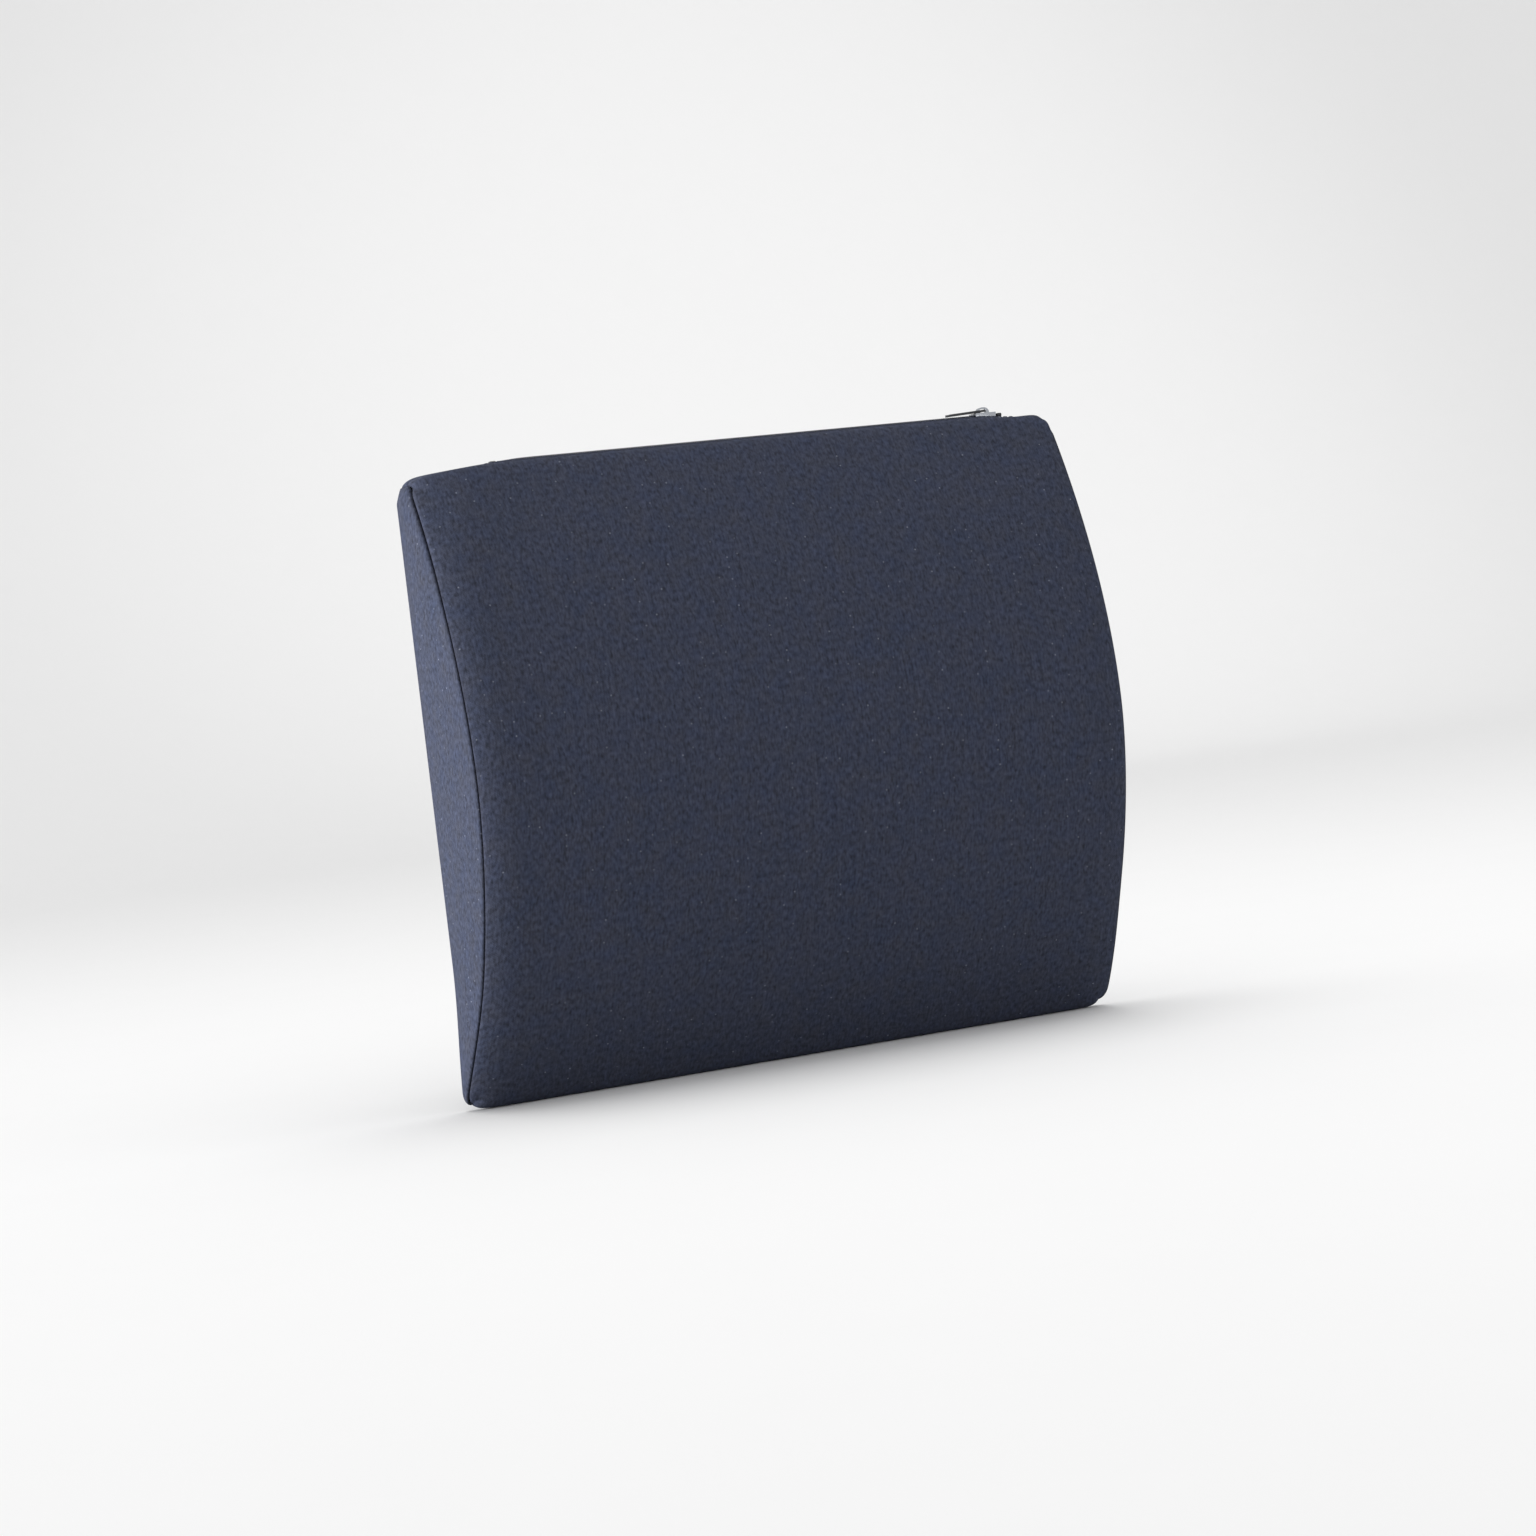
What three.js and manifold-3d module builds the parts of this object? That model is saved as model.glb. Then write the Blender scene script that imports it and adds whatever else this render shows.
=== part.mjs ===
// Lumbar support cushion: a D-section foam block in a sewn four-panel cover with a coil zip
// along its top edge. Millimetres, +Z up, +X along the width, -Y out of the front.
// The origin is the centre of the flat back face, which lies in the plane y = 0.

import * as THREE from 'three';
import { mergeVertices } from 'three/addons/utils/BufferGeometryUtils.js';
import Module from 'manifold-3d';

// ---------------------------------------------------------------- driving dimensions, mm
const WIDTH = 368;               // side panel to side panel
const HEIGHT = 330;              // bottom edge to top edge
const SEAM_DEPTH = 69;           // back face to the front seam, at its deepest
const TOP_SEAM_DEPTH = 13;       // back face to the front seam, at the top edge
const BOTTOM_SEAM_DEPTH = 0;     // back face to the front seam, at the bottom edge
const CROWN = 6.5;               // the front's rise from each side seam to its full depth
const ROLL_WIDTH = 20;           // the border of the front over which it rises
const COVER_THICKNESS = 2;       // cover fabric with its bonded backing
const FIT_GAP = 0.3;             // between pieces that touch
const FOAM_ROOM = 1.2;           // foam top to the underside of the zip slider

const ZIP_LINE = 10;             // zip centre line in front of the back face
const ZIP_MARGIN_CLOSED = 17;    // right side of the cushion to the opening, where the zip closes
const ZIP_MARGIN_OPEN = 46;      // left side of the cushion to the other end of the opening
const LIP_ROOM = 0.4;            // slider to each lip of the cover
const TAPE_THICKNESS = 0.6;
const TAPE_WIDTH = 8;            // the front tape
const TAPE_EDGE_ROOM = 0.6;      // the trimmed back tape to the back panel
const TAPE_TAIL = 6;             // tape past each end of the opening
const COIL_WIDTH = 2.2;          // one coil row
const COIL_HEIGHT = 1.6;
const CHAIN_SLOT = 1.6;          // clear slot between the rows, for the slider's post

const SLIDER_LENGTH = 12.4;
const SLIDER_WIDTH = 9.2;
const SLIDER_TAPER = 0.6;        // each side, towards the mouths
const SLIDER_WING = 0.8;         // thickness of the upper and lower wings
const SLIDER_FLANGE = 0.8;       // wing rims that hold the coil rows in
const SLIDER_CLEARANCE = 0.35;   // slider to tape and coil
const POST_LENGTH = 3;           // joins the wings between the coil rows
const CROWN_LENGTH = 7.6;
const CROWN_WIDTH = 2.2;
const CROWN_ROOF = 0.9;          // metal over the eye
const EYE_LENGTH = 3.6;          // window through the crown
const PULL_LENGTH = 22;          // pivot to free end
const PULL_THICKNESS = 1.2;
const PULL_ARM = 1.0;            // arms each side of the crown
const PULL_SIDE_ROOM = 0.6;      // crown to each arm
const PULL_END_ROOM = 1.4;       // crown to the end of the gap between the arms
const BAR_RADIUS = 0.5;          // the pull's bar through the eye
const BAR_ROOM = 0.65;           // bar to the floor and roof of the eye
const STOP_LENGTH = 3;
const STOP_PROUD = 0.5;          // stops above the coil
const STOP_ROOM = 1.2;           // slider to top stops when the zip is shut
const STOP_MARGIN = 3.5;         // stops to the ends of the opening

// ---------------------------------------------------------------- mesh fineness
const ARC_SEGMENTS = 16;         // per half turn setting of three's curves
const ROLL_STEPS = 5;
const RUN_ON = 1.3;              // how far the section's arc runs past the trimmed ends
const OVERLAP = 0.1;             // between the solids joined into one piece

// ---------------------------------------------------------------- derived sizes and places
const SIDE = WIDTH / 2;
const TOP = HEIGHT / 2;
const OPENING_RIGHT = SIDE - ZIP_MARGIN_CLOSED;
const OPENING_LEFT = -SIDE + ZIP_MARGIN_OPEN;
const LIP_OPENING = SLIDER_WIDTH + 2 * LIP_ROOM;
const LIP_UNDER = TOP - COVER_THICKNESS;
const TAPE_TOP = LIP_UNDER - FIT_GAP;
const TAPE_UNDER = TAPE_TOP - TAPE_THICKNESS;
const BACK_TAPE_WIDTH = ZIP_LINE - CHAIN_SLOT / 2 - COVER_THICKNESS - TAPE_EDGE_ROOM;
const COIL_FOOT = TAPE_TOP + FIT_GAP;
const COIL_TOP = COIL_FOOT + COIL_HEIGHT;
const WING_UNDER = COIL_TOP + SLIDER_CLEARANCE;
const WING_TOP = WING_UNDER + SLIDER_WING;
const SLIDER_FOOT = TAPE_UNDER - SLIDER_CLEARANCE - SLIDER_WING;
const CHANNEL_HALF = CHAIN_SLOT / 2 + COIL_WIDTH + SLIDER_CLEARANCE;
const TOP_STOP_X = OPENING_RIGHT - STOP_MARGIN - STOP_LENGTH / 2;
const BOTTOM_STOP_X = OPENING_LEFT + STOP_MARGIN + STOP_LENGTH / 2;
const SLIDER_X = TOP_STOP_X - STOP_LENGTH / 2 - STOP_ROOM - SLIDER_LENGTH / 2;
const EYE_HEIGHT = 2 * (BAR_RADIUS + BAR_ROOM);
const PIVOT_Z = WING_TOP + EYE_HEIGHT / 2;
const PULL_WIDTH = CROWN_WIDTH + 2 * (PULL_SIDE_ROOM + PULL_ARM);
const PULL_REST_DROP = PIVOT_Z - PULL_THICKNESS / 2 - TOP - FIT_GAP;

// ---------------------------------------------------------------- materials
const finishes = {
  cover: { color: 0x343847, roughness: 0.95, metalness: 0 },
  foam: { color: 0xe6dfcb, roughness: 1, metalness: 0 },
  tape: { color: 0x23262f, roughness: 0.9, metalness: 0 },
  coil: { color: 0x2a2d36, roughness: 0.5, metalness: 0 },
  metal: { color: 0xb4b6ba, roughness: 0.3, metalness: 1 },
};

// ---------------------------------------------------------------- solid helpers
const wasm = await Module();
wasm.setup();

function solid(geometry) {
  const plain = geometry.clone();
  plain.deleteAttribute('normal');
  plain.deleteAttribute('uv');
  const merged = mergeVertices(plain, 1e-4);
  return new wasm.Manifold(new wasm.Mesh({
    numProp: 3,
    vertProperties: new Float32Array(merged.attributes.position.array),
    triVerts: new Uint32Array(merged.index.array),
  }));
}

function geometryOf(manifold) {
  const mesh = manifold.getMesh();
  const geometry = new THREE.BufferGeometry();
  geometry.setAttribute('position', new THREE.BufferAttribute(mesh.vertProperties, 3));
  geometry.setIndex(new THREE.BufferAttribute(mesh.triVerts, 1));
  geometry.computeVertexNormals();
  return geometry;
}

// A box given by its low and high corners.
function block(low, high) {
  const size = high.map((value, i) => value - low[i]);
  const geometry = new THREE.BoxGeometry(...size);
  geometry.translate(...high.map((value, i) => (value + low[i]) / 2));
  return solid(geometry);
}

// An outline drawn in depth and height, carried along X from x0 to x1. Depth points out of the
// front, which is -Y.
function alongX(outline, x0, x1, bevel = {}) {
  const geometry = new THREE.ExtrudeGeometry(outline, {
    depth: x1 - x0,
    steps: 1,
    curveSegments: ARC_SEGMENTS,
    bevelEnabled: false,
    ...bevel,
  });
  const turn = new THREE.Matrix4().makeBasis(
    new THREE.Vector3(0, -1, 0), new THREE.Vector3(0, 0, 1), new THREE.Vector3(-1, 0, 0));
  geometry.applyMatrix4(turn);
  geometry.translate(x1, 0, 0);
  return solid(geometry);
}

function rectangle(depth0, depth1, z0, z1) {
  return new THREE.Shape([
    new THREE.Vector2(depth0, z0), new THREE.Vector2(depth1, z0),
    new THREE.Vector2(depth1, z1), new THREE.Vector2(depth0, z1),
  ]);
}

// ---------------------------------------------------------------- the D-shaped section
// The side seam is one circular arc through its bottom, deepest and top points. The outline runs
// on past both ends of the seam, and the box that trims it makes the flat back, top and bottom.
function seamOutline(inset = 0) {
  const chordDepth = (TOP_SEAM_DEPTH + BOTTOM_SEAM_DEPTH) / 2;
  const rise = SEAM_DEPTH - chordDepth;
  const lean = Math.atan2(TOP_SEAM_DEPTH - BOTTOM_SEAM_DEPTH, HEIGHT);
  const halfChord = HEIGHT / 2 / Math.cos(lean);
  const radius = (halfChord ** 2 + rise ** 2) / (2 * rise);
  const centreDepth = chordDepth - (radius - rise) * Math.cos(lean);
  const centreHeight = (radius - rise) * Math.sin(lean);
  const halfAngle = Math.asin(halfChord / radius) * RUN_ON;
  const outline = new THREE.Shape();
  outline.absarc(centreDepth, centreHeight, radius - inset, -lean - halfAngle, -lean + halfAngle);
  outline.closePath();
  return outline;
}

// The whole cushion's outer form, made smaller by an inset on every side: the section carried
// along X, with a border that rolls over from the full front to each side seam.
function cushionForm(inset, topInset = inset) {
  const straight = SIDE - ROLL_WIDTH;
  const rolled = alongX(seamOutline(), -straight, straight, {
    bevelEnabled: true,
    bevelThickness: ROLL_WIDTH - inset,
    bevelSize: CROWN - inset,
    bevelSegments: ROLL_STEPS,
  });
  return rolled.intersect(block(
    [-SIDE, -SEAM_DEPTH - 2 * CROWN, -TOP + inset], [SIDE, -inset, TOP - topInset]));
}

// ---------------------------------------------------------------- cover panels
const skin = cushionForm(0).subtract(cushionForm(COVER_THICKNESS));
const seam = FIT_GAP / 2;        // each panel stops half a gap short of its seam line

// Side panels: the flat D at each end, inside its seam.
function sidePanelRegion(side, edge) {
  const inner = SIDE - COVER_THICKNESS;
  const low = side < 0 ? -SIDE - 1 : inner - edge;
  const high = side < 0 ? -inner + edge : SIDE + 1;
  const rim = COVER_THICKNESS - edge;
  return alongX(seamOutline(-edge), low, high).intersect(block(
    [low, -SEAM_DEPTH - CROWN, -TOP + rim], [high, -rim, TOP - rim]));
}

// Back panel: the flat back, with a strip folded over the top edge as far as the zip line.
function backPanelRegion(edge) {
  const back = block([-SIDE - 1, -COVER_THICKNESS - edge, -TOP - 1], [SIDE + 1, 1, TOP + 1]);
  const fold = block(
    [-SIDE - 1, -ZIP_LINE - edge, LIP_UNDER - edge], [SIDE + 1, 1, TOP + 1]);
  return back.add(fold);
}

const opening = block(
  [OPENING_LEFT, -ZIP_LINE - LIP_OPENING / 2, LIP_UNDER - 1],
  [OPENING_RIGHT, -ZIP_LINE + LIP_OPENING / 2, TOP + 1]);

const coverLeft = skin.intersect(sidePanelRegion(-1, -seam));
const coverRight = skin.intersect(sidePanelRegion(1, -seam));
const wrap = skin.subtract(sidePanelRegion(-1, seam)).subtract(sidePanelRegion(1, seam));
const coverBack = wrap.intersect(backPanelRegion(-seam)).subtract(opening);
const coverFront = wrap.subtract(backPanelRegion(seam)).subtract(opening);

// ---------------------------------------------------------------- foam core
const foamCore = cushionForm(COVER_THICKNESS + FIT_GAP, TOP - SLIDER_FOOT + FOAM_ROOM);

// ---------------------------------------------------------------- zip: tapes, coils and stops
// A bar between two distances from the zip line; side is -1 for the front half, 1 for the back.
function zipStrip(side, near, far, x0, x1, z0, z1) {
  const ys = [-ZIP_LINE + side * near, -ZIP_LINE + side * far];
  return block([x0, Math.min(...ys), z0], [x1, Math.max(...ys), z1]);
}

function zipTape(side, width) {
  const near = CHAIN_SLOT / 2;
  return zipStrip(side, near, near + width, OPENING_LEFT - TAPE_TAIL, OPENING_RIGHT + TAPE_TAIL,
    TAPE_UNDER, TAPE_TOP);
}

// One coil row, an eight-sided bar the size of the wound filament.
function zipCoil(side) {
  const corner = COIL_HEIGHT / 4;
  const near = ZIP_LINE - side * CHAIN_SLOT / 2;
  const far = near - side * COIL_WIDTH;
  const [low, high] = [Math.min(near, far), Math.max(near, far)];
  const outline = new THREE.Shape([
    new THREE.Vector2(low + corner, COIL_FOOT), new THREE.Vector2(high - corner, COIL_FOOT),
    new THREE.Vector2(high, COIL_FOOT + corner), new THREE.Vector2(high, COIL_TOP - corner),
    new THREE.Vector2(high - corner, COIL_TOP), new THREE.Vector2(low + corner, COIL_TOP),
    new THREE.Vector2(low, COIL_TOP - corner), new THREE.Vector2(low, COIL_FOOT + corner),
  ]);
  const stopEnd = STOP_LENGTH / 2 + FIT_GAP;
  return alongX(outline, BOTTOM_STOP_X + stopEnd, TOP_STOP_X - stopEnd);
}

// A top stop closes each row's end; one bottom stop spans both rows at the other end.
function zipStop(side, near, far, x) {
  const half = STOP_LENGTH / 2;
  return zipStrip(side, near, far, x - half, x + half, COIL_FOOT, COIL_TOP + STOP_PROUD);
}

const rowNear = CHAIN_SLOT / 2;
const rowFar = rowNear + COIL_WIDTH;

// ---------------------------------------------------------------- slider and pull
// The slider is made at x = 0 on the zip line and the pull about its pivot, and both are placed
// in the assembly.
function extrudeUp(outline, z0, z1) {
  const geometry = new THREE.ExtrudeGeometry(outline, {
    depth: z1 - z0, bevelEnabled: false, curveSegments: 8,
  });
  geometry.translate(0, 0, z0);
  return solid(geometry);
}

// An outline drawn in x and z, carried along Y and centred on the pivot's plane.
function extrudeAcross(outline, width) {
  const geometry = new THREE.ExtrudeGeometry(outline, {
    depth: width, bevelEnabled: false, curveSegments: 8,
  });
  geometry.rotateX(Math.PI / 2);
  geometry.translate(0, width / 2, 0);
  return solid(geometry);
}

// The wings' plan: straight sides that draw in to the narrower rear mouth, at -X.
function wingPlan(shrink) {
  const half = SLIDER_LENGTH / 2;
  const front = SLIDER_WIDTH / 2 - shrink;
  const rear = front - SLIDER_TAPER;
  return new THREE.Shape([
    new THREE.Vector2(-half, -rear), new THREE.Vector2(-half / 3, -front),
    new THREE.Vector2(half - SLIDER_TAPER, -front), new THREE.Vector2(half, -rear),
    new THREE.Vector2(half, rear), new THREE.Vector2(half - SLIDER_TAPER, front),
    new THREE.Vector2(-half / 3, front), new THREE.Vector2(-half, rear),
  ]);
}

function crown() {
  const half = CROWN_LENGTH / 2;
  const height = EYE_HEIGHT + CROWN_ROOF;
  const shoulder = height * 0.8;
  const arch = new THREE.Shape();
  arch.moveTo(-half, -OVERLAP);
  arch.lineTo(half, -OVERLAP);
  arch.bezierCurveTo(half, shoulder, half / 2, height, 0, height);
  arch.bezierCurveTo(-half / 2, height, -half, shoulder, -half, -OVERLAP);
  const eye = rectangle(-EYE_LENGTH / 2, EYE_LENGTH / 2, 0, EYE_HEIGHT);
  return extrudeAcross(arch, CROWN_WIDTH)
    .subtract(extrudeAcross(eye, CROWN_WIDTH * 2))
    .translate(0, 0, WING_TOP);
}

function slider() {
  const rimFoot = TAPE_TOP + SLIDER_CLEARANCE;
  const lowerTop = SLIDER_FOOT + SLIDER_WING;
  const channel = block([-SLIDER_LENGTH, -CHANNEL_HALF, rimFoot - 1],
    [SLIDER_LENGTH, CHANNEL_HALF, WING_UNDER]);
  const upper = extrudeUp(wingPlan(0), rimFoot, WING_TOP)
    .subtract(extrudeUp(wingPlan(SLIDER_FLANGE), rimFoot - 1, WING_UNDER))
    .subtract(channel);
  const lower = extrudeUp(wingPlan(SLIDER_FLANGE), SLIDER_FOOT, lowerTop);
  const postHalf = CHAIN_SLOT / 2 - FIT_GAP;
  const postFront = SLIDER_LENGTH / 2 - FIT_GAP;
  const post = block([postFront - POST_LENGTH, -postHalf, lowerTop - OVERLAP],
    [postFront, postHalf, WING_UNDER + OVERLAP]);
  return upper.add(lower).add(post).add(crown());
}

// A flat tag on two arms that pass each side of the crown, joined by a bar through its eye.
function pull() {
  const half = PULL_THICKNESS / 2;
  const edge = PULL_WIDTH / 2;
  const corner = PULL_WIDTH / 5;
  const plan = new THREE.Shape([
    new THREE.Vector2(BAR_RADIUS, -edge), new THREE.Vector2(BAR_RADIUS, edge),
    new THREE.Vector2(-PULL_LENGTH + corner, edge), new THREE.Vector2(-PULL_LENGTH, edge - corner),
    new THREE.Vector2(-PULL_LENGTH, -edge + corner),
    new THREE.Vector2(-PULL_LENGTH + corner, -edge),
  ]);
  const gapEnd = -CROWN_LENGTH / 2 - PULL_END_ROOM;
  const gapHalf = edge - PULL_ARM;
  const gap = block([gapEnd, -gapHalf, -PULL_THICKNESS], [1, gapHalf, PULL_THICKNESS]);
  const bar = new THREE.CylinderGeometry(BAR_RADIUS, BAR_RADIUS, PULL_WIDTH - PULL_ARM, 12);
  return extrudeUp(plan, -half, half).subtract(gap).add(solid(bar));
}

// ---------------------------------------------------------------- the assembly
const cushion = new THREE.Group();

function addPiece(name, manifold, finish, parent = cushion) {
  const mesh = new THREE.Mesh(
    geometryOf(manifold), new THREE.MeshStandardMaterial(finishes[finish]));
  mesh.name = name;
  parent.add(mesh);
}

addPiece('foam_core', foamCore, 'foam');
addPiece('cover_front', coverFront, 'cover');
addPiece('cover_back', coverBack, 'cover');
addPiece('cover_side_left', coverLeft, 'cover');
addPiece('cover_side_right', coverRight, 'cover');
addPiece('zip_tape_front', zipTape(-1, TAPE_WIDTH), 'tape');
addPiece('zip_tape_back', zipTape(1, BACK_TAPE_WIDTH), 'tape');
addPiece('zip_coil_front', zipCoil(-1), 'coil');
addPiece('zip_coil_back', zipCoil(1), 'coil');
addPiece('zip_top_stop_front', zipStop(-1, rowNear, rowFar, TOP_STOP_X), 'metal');
addPiece('zip_top_stop_back', zipStop(1, rowNear, rowFar, TOP_STOP_X), 'metal');
addPiece('zip_bottom_stop', zipStop(1, -rowFar, rowFar, BOTTOM_STOP_X), 'metal');

const sliderPlace = new THREE.Group();
sliderPlace.position.set(SLIDER_X, -ZIP_LINE, 0);
cushion.add(sliderPlace);
addPiece('zip_slider', slider(), 'metal', sliderPlace);

const pullPivot = new THREE.Group();
pullPivot.position.z = PIVOT_Z;
pullPivot.rotation.y = -Math.asin(PULL_REST_DROP / PULL_LENGTH);
sliderPlace.add(pullPivot);
addPiece('zip_pull', pull(), 'metal', pullPivot);

export default cushion;
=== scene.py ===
import math

import bmesh
import bpy
import numpy as np
from mathutils import Matrix, Vector


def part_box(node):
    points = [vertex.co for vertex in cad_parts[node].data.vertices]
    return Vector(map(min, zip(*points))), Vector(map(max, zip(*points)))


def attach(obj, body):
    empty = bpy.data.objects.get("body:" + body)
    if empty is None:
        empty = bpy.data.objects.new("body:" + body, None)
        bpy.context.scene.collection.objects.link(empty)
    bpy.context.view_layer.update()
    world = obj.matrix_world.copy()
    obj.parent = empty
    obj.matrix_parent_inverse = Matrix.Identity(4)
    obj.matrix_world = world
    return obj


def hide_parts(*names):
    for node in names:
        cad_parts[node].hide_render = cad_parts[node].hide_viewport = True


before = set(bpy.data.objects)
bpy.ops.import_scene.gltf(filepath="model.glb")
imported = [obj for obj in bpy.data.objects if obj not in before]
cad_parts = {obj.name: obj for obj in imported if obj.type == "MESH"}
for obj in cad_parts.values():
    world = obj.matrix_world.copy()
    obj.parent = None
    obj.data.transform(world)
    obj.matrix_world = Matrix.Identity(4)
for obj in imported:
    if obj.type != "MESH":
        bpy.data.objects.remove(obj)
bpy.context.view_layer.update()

# A lumbar cushion: a foam D in a sewn cover of woven fabric, with a coil zip along its top edge.
# Shapes are worked out in millimetres and turned to metres where a mesh is made.
# +X runs along the width, -Y out of the curved front, +Z up. "Depth" is the distance in front of
# the flat back, which is -Y.
MM = 0.001


def box_mm(node_name):
    """Lowest and highest corner of a CAD node, in millimetres."""
    low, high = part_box(node_name)
    return np.array(low) / MM, np.array(high) / MM


front_low, front_high = box_mm("cover_front")
back_low, back_high = box_mm("cover_back")
end_low = box_mm("cover_side_left")[0]
coil_front_low = box_mm("zip_coil_front")[0]
coil_back_high = box_mm("zip_coil_back")[1]
tape_low, tape_high = box_mm("zip_tape_front")
FOAM_TOP = box_mm("foam_core")[1][2]

SIDE = front_high[0]
TOP = back_high[2]
BOTTOM = back_low[2]
FULL_DEPTH = -front_low[1]
SEAM_DEPTH = -end_low[1]
CROWN = FULL_DEPTH - SEAM_DEPTH
ZIP_LINE = -(coil_front_low[1] + coil_back_high[1]) / 2

# ---------------------------------------------------------------- camera
CAMERA_AZIMUTH = 24.26      # degrees round to the cushion's left
CAMERA_ELEVATION = 1.87
CAMERA_ROLL = 6.74
CAMERA_DISTANCE = 1.967     # metres
CAMERA_ASIDE = -0.0051
CAMERA_BELOW = 0.0108
CAMERA_LENS = 86.7          # on a 36 mm sensor


def place_camera():
    """Looks along (sin a cos e, cos a cos e, -sin e) from the given distance, rolled about it."""
    a, e, roll = map(math.radians, (CAMERA_AZIMUTH, CAMERA_ELEVATION, CAMERA_ROLL))
    forward = Vector((math.sin(a) * math.cos(e), math.cos(a) * math.cos(e), -math.sin(e)))
    right = Vector((math.cos(a), -math.sin(a), 0))
    up = right.cross(forward)
    spot = -forward * CAMERA_DISTANCE - right * CAMERA_ASIDE - up * CAMERA_BELOW
    turned_right = right * math.cos(roll) - up * math.sin(roll)
    turned_up = right * math.sin(roll) + up * math.cos(roll)
    data = bpy.data.cameras.new("camera")
    data.lens = CAMERA_LENS
    data.sensor_width = 36
    data.clip_start, data.clip_end = 0.05, 50
    camera = bpy.data.objects.new("camera", data)
    axes = Matrix((turned_right, turned_up, -forward)).transposed()
    camera.matrix_world = Matrix.Translation(spot) @ axes.to_4x4()
    bpy.context.scene.collection.objects.link(camera)
    bpy.context.scene.camera = camera


place_camera()


# ---------------------------------------------------------------- meshes
def build_mesh(name, vertices, faces, uv=None, attributes=None):
    """An object at the origin from millimetre vertices and four-cornered faces, with the cloth's
    own length and width in metres as its UV map and one number per vertex in each attribute."""
    mesh = bpy.data.meshes.new(name)
    mesh.vertices.add(len(vertices))
    mesh.vertices.foreach_set("co", (vertices * MM).astype(np.float32).ravel())
    sides = faces.shape[1]
    mesh.loops.add(faces.size)
    mesh.polygons.add(len(faces))
    mesh.loops.foreach_set("vertex_index", faces.ravel().astype(np.int32))
    mesh.polygons.foreach_set("loop_start", np.arange(0, faces.size, sides, dtype=np.int32))
    mesh.update(calc_edges=True)
    mesh.validate()
    mesh.shade_smooth()
    if uv is not None:
        layer = mesh.uv_layers.new(name="cloth")
        layer.data.foreach_set("uv", (uv[faces.ravel()] * MM).astype(np.float32).ravel())
    for key, values in (attributes or {}).items():
        held = mesh.attributes.new(key, "FLOAT", "POINT")
        held.data.foreach_set("value", values.astype(np.float32))
    made = bpy.data.objects.new(name, mesh)
    bpy.context.scene.collection.objects.link(made)
    return made


def grid_faces(rows, columns, wrap_rows=False, wrap_columns=False, flip=False):
    """Quads between neighbouring rows and columns. They face along (down a row) x (along a
    column), or the other way when flipped, and may run on round a closed way."""
    i = np.arange(rows if wrap_rows else rows - 1)[:, None]
    j = np.arange(columns if wrap_columns else columns - 1)[None, :]
    i2, j2 = (i + 1) % rows, (j + 1) % columns
    corners = [i * columns + j, i2 * columns + j, i2 * columns + j2, i * columns + j2]
    faces = np.stack([np.broadcast_to(c, (i.size, j.size)).ravel() for c in corners], axis=1)
    return faces[:, ::-1] if flip else faces


def join_grids(parts):
    """One vertex list and one face list from several (points, faces) pairs."""
    starts = np.cumsum([0] + [len(points) for points, _ in parts[:-1]])
    vertices = np.concatenate([points for points, _ in parts])
    faces = np.concatenate([faces + start for (_, faces), start in zip(parts, starts)])
    return vertices, faces


def weld(piece, distance=0.02):
    """Joins vertices nearer than the distance, in millimetres."""
    work = bmesh.new()
    work.from_mesh(piece.data)
    bmesh.ops.remove_doubles(work, verts=work.verts, dist=distance * MM)
    work.to_mesh(piece.data)
    work.free()
    piece.data.update()


def thicken(piece, thickness, levels):
    """Subdivides the outer face, then gives it its thickness inwards."""
    smooth = piece.modifiers.new("smooth", "SUBSURF")
    smooth.levels = smooth.render_levels = levels
    smooth.boundary_smooth = "PRESERVE_CORNERS"
    wall = piece.modifiers.new("cloth thickness", "SOLIDIFY")
    wall.thickness = thickness * MM
    wall.offset = -1


def unit(vectors):
    """The vectors at length one."""
    return vectors / np.maximum(np.linalg.norm(vectors, axis=-1, keepdims=True), 1e-9)


# ---------------------------------------------------------------- the D section
RUN_SAMPLES = 400           # points along each of the five runs round the section
LEFT_SEAM = (1.2, 13.4)     # depth of the front seam at the bottom edge and at the top edge
RIGHT_SEAM = (7.0, 20.0)
SEAM_SKEW = 0.97
SEAM_FULLNESS = 1.83
# Width of the rounding along the outline, by t.
CORNER_ROUNDING = ((0, 3.0), (1, 4.2), (1.5, 3.0), (2, 3.0), (3, 1.6), (3.5, 2.5), (4, 2.2),
                   (5, 2.2))


def seam_depth(height, foot, head):
    """Depth of the side seam at a height. A straight line from foot to head, plus a bulge of
    1 - |2w - 1|^n, where w is the share of the height raised to the skew."""
    share = (height - BOTTOM) / (TOP - BOTTOM)
    inside = np.clip(share, 0, 1) ** SEAM_SKEW
    bulge = 1 - np.abs(2 * inside - 1) ** SEAM_FULLNESS
    straight = foot + (head - foot) * share
    most = SEAM_DEPTH - (foot + head) / 2
    ends = np.minimum(share, 0) + np.minimum(1 - share, 0)
    return straight + most * bulge + 4 * most * ends


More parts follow.
